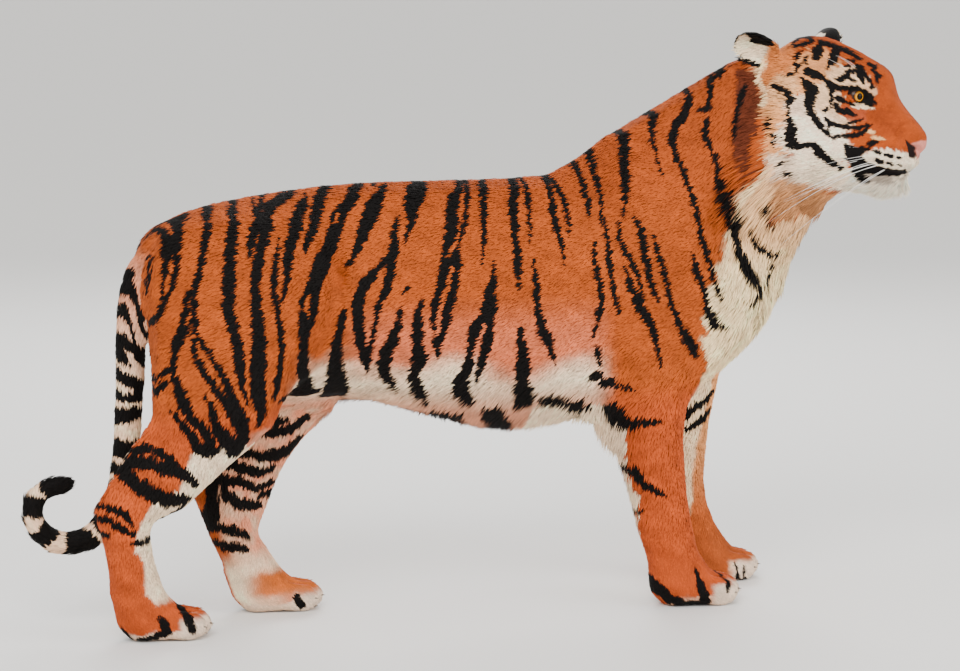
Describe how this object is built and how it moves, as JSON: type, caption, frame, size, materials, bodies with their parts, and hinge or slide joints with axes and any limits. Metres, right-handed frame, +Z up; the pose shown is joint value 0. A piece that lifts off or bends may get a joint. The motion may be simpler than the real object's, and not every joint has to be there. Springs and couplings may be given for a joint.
{
  "type": "bengal tiger, still life-size animal model",
  "caption": "Life-size standing Bengal tiger with striped coat, head turned a little to its right and tail curled low behind the hind leg.",
  "frame": {"origin": "on the floor, under the middle of the tiger's bounding box", "axes": "+X towards the head, +Y to the animal's left, +Z up from the floor"},
  "size_m": [1.9484, 0.495, 1.2469],
  "materials": {
    "orange_fur": "short dense fur, orange with black stripes",
    "cream_fur": "soft cream fur, longer along belly, chin and ruff",
    "russet_fur": "short reddish-orange fur",
    "dark_fur": "short black fur",
    "nose_leather": "moist pink nose leather, fine pebbled grain",
    "eye": "amber iris under a clear wet cornea",
    "claw_horn": "smooth dark horn of the claws"
  },
  "bodies": {
    "root": {"eye_right": "eye", "eye_left": "eye", "ear_right": "dark_fur", "ear_left": "dark_fur", "head": "orange_fur", "lower_jaw": "cream_fur", "nose": "nose_leather", "neck": "orange_fur", "chest": "orange_fur", "belly": "orange_fur", "rump": "orange_fur", "foreleg_right_upper": "orange_fur", "foreleg_right_lower": "orange_fur", "right_forepaw": "cream_fur", "claw_right_fore_1": "claw_horn", "claw_right_fore_2": "claw_horn", "claw_right_fore_3": "claw_horn", "claw_right_fore_4": "claw_horn", "foreleg_left_upper": "orange_fur", "foreleg_left_lower": "orange_fur", "left_forepaw": "cream_fur", "claw_left_fore_1": "claw_horn", "claw_left_fore_2": "claw_horn", "claw_left_fore_3": "claw_horn", "claw_left_fore_4": "claw_horn", "hindleg_right_thigh": "orange_fur", "hindleg_right_shank": "orange_fur", "hindleg_right_hock": "russet_fur", "right_hindpaw": "cream_fur", "claw_right_hind_1": "claw_horn", "claw_right_hind_2": "claw_horn", "claw_right_hind_3": "claw_horn", "claw_right_hind_4": "claw_horn", "hindleg_left_thigh": "orange_fur", "hindleg_left_shank": "orange_fur", "hindleg_left_hock": "russet_fur", "left_hindpaw": "cream_fur", "claw_left_hind_1": "claw_horn", "claw_left_hind_2": "claw_horn", "claw_left_hind_3": "claw_horn", "claw_left_hind_4": "claw_horn", "tail_base": "russet_fur", "tail_middle": "cream_fur", "tail_lower": "cream_fur", "tail_tip": "dark_fur"}
  },
  "joints": []
}
